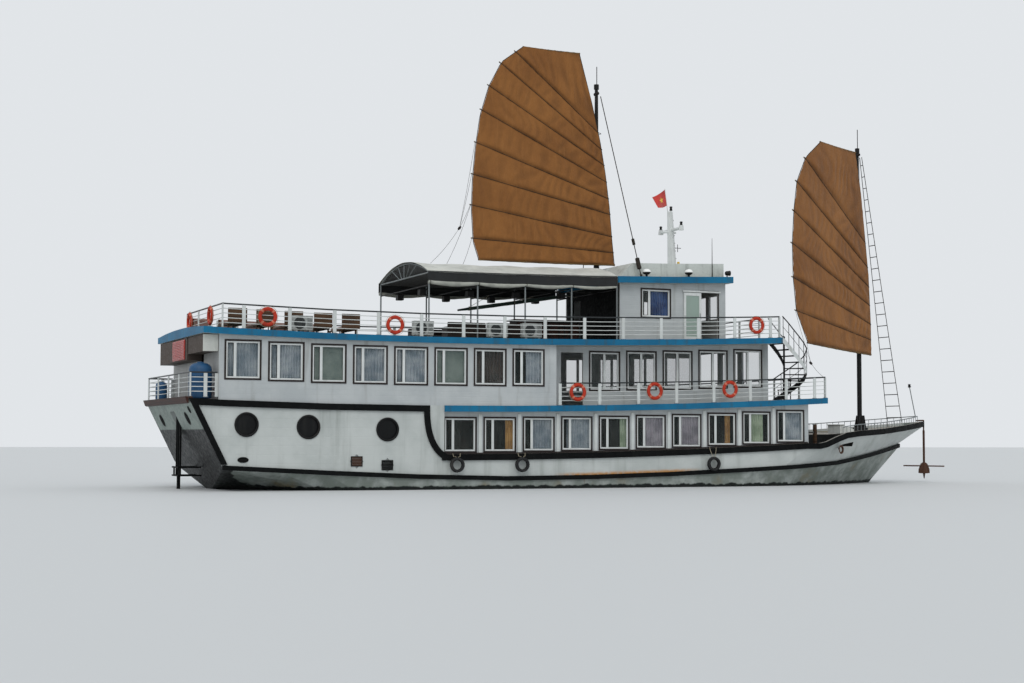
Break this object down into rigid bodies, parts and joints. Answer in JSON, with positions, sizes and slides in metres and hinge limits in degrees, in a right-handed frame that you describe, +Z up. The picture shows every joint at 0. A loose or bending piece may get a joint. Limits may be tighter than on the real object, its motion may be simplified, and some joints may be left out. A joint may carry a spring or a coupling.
{
  "type": "chinese junk ship",
  "caption": "Three-decked passenger junk with two fan-battened lug sails on masts, windowed cabins, railed sun deck with canopy and wheelhouse, rudder and propeller.",
  "frame": {"origin": "On the centreline amidships at the waterline, so the floor of a scene is the water's surface.", "axes": "+X towards the bow, +Y to port, +Z up."},
  "size_m": [38.3088, 8.8679, 21.17],
  "materials": {
    "hull_white": "weathered matt paint, rust runs",
    "belt_black": "satin paint",
    "deck_blue": "matt deck-edge paint",
    "wood_brown": "varnished",
    "sail_canvas": "wrinkled ochre canvas",
    "canopy_cloth": "taut pale cover",
    "grey_metal": "satin paint",
    "bare_steel": "dull",
    "rubber_black": "worn",
    "drum_blue": "gloss",
    "unit_pale": "matt"
  },
  "bodies": {
    "ship": {"ac_unit_1": "unit_pale", "ac_unit_2": "unit_pale", "ac_unit_3": "unit_pale", "ac_unit_4": "unit_pale", "anchor": "belt_black", "bar_counter": "wood_brown", "bow_rail": "grey_metal", "cabin_aft_wall": "hull_white", "cabin_bulkhead": "hull_white", "cabin_wall_port": "hull_white", "cabin_wall_starboard": "hull_white", "canopy_frame": "grey_metal", "canopy_roof": "canopy_cloth", "drum_1": "drum_blue", "drum_2": "drum_blue", "fender_1": "rubber_black", "fender_2": "rubber_black", "fender_3": "rubber_black", "fore_ladder": "belt_black", "fore_mast": "belt_black", "house_front": "hull_white", "house_wall_port": "hull_white", "house_wall_starboard": "hull_white", "hull": "hull_white", "hull_bow": "hull_white", "hull_fore": "hull_white", "lower_wale": "belt_black", "main_mast": "belt_black", "main_stay_port": "belt_black", "main_stay_starboard": "belt_black", "mid_deck": "deck_blue", "mid_deck_rail": "hull_white", "roof_box": "unit_pale", "saloon_front": "hull_white", "saloon_wall_port": "hull_white", "saloon_wall_starboard": "hull_white", "sheer_strake": "belt_black", "signal_mast": "hull_white", "spiral_stair": "belt_black", "stern_cabinets": "grey_metal", "stern_cap_rail": "wood_brown", "stern_platform": "belt_black", "stern_rail": "hull_white", "sun_deck": "deck_blue", "sun_deck_rail": "hull_white", "wheelhouse_aft_wall": "wood_brown", "wheelhouse_front": "hull_white", "wheelhouse_roof": "deck_blue", "wheelhouse_wall_port": "hull_white", "wheelhouse_wall_starboard": "hull_white", "windlass": "grey_metal"},
    "rudder": {"rudder": "belt_black"},
    "propeller": {"propeller": "bare_steel"},
    "main_sail": {"main_sail": "sail_canvas", "main_sail_spars": "wood_brown"},
    "fore_sail": {"fore_sail": "sail_canvas", "fore_sail_spars": "wood_brown"},
    "wheelhouse_door_starboard": {"wheelhouse_door_starboard": "hull_white"},
    "wheelhouse_door_port": {"wheelhouse_door_port": "hull_white"},
    "house_door": {"house_door": "wood_brown"}
  },
  "joints": [
    {"name": "rudder_turn", "type": "hinge", "parent": "ship", "child": "rudder", "pos_m": [-17.9, 0, 0], "axis": [0, 0, 1], "range_deg": [-35, 35]},
    {"name": "propeller_spin", "type": "hinge", "parent": "ship", "child": "propeller", "pos_m": [-16.85, 0, -1.02], "axis": [1, 0, 0], "continuous": true},
    {"name": "main_sail_swing", "type": "hinge", "parent": "ship", "child": "main_sail", "pos_m": [0.75, 0, 0], "axis": [0, 0, 1], "range_deg": [-50, 50]},
    {"name": "fore_sail_swing", "type": "hinge", "parent": "ship", "child": "fore_sail", "pos_m": [14.8, 0, 0], "axis": [0, 0, 1], "range_deg": [-84, 36]},
    {"name": "wheelhouse_door_starboard_slide", "type": "slide", "parent": "ship", "child": "wheelhouse_door_starboard", "axis": [1, 0, 0], "range_m": [0, 0.89]},
    {"name": "wheelhouse_door_port_slide", "type": "slide", "parent": "ship", "child": "wheelhouse_door_port", "axis": [1, 0, 0], "range_m": [0, 0.89]},
    {"name": "house_door_swing", "type": "hinge", "parent": "ship", "child": "house_door", "pos_m": [9.255, 0.43, 2.6], "axis": [0, 0, 1], "range_deg": [0, 100]}
  ]
}
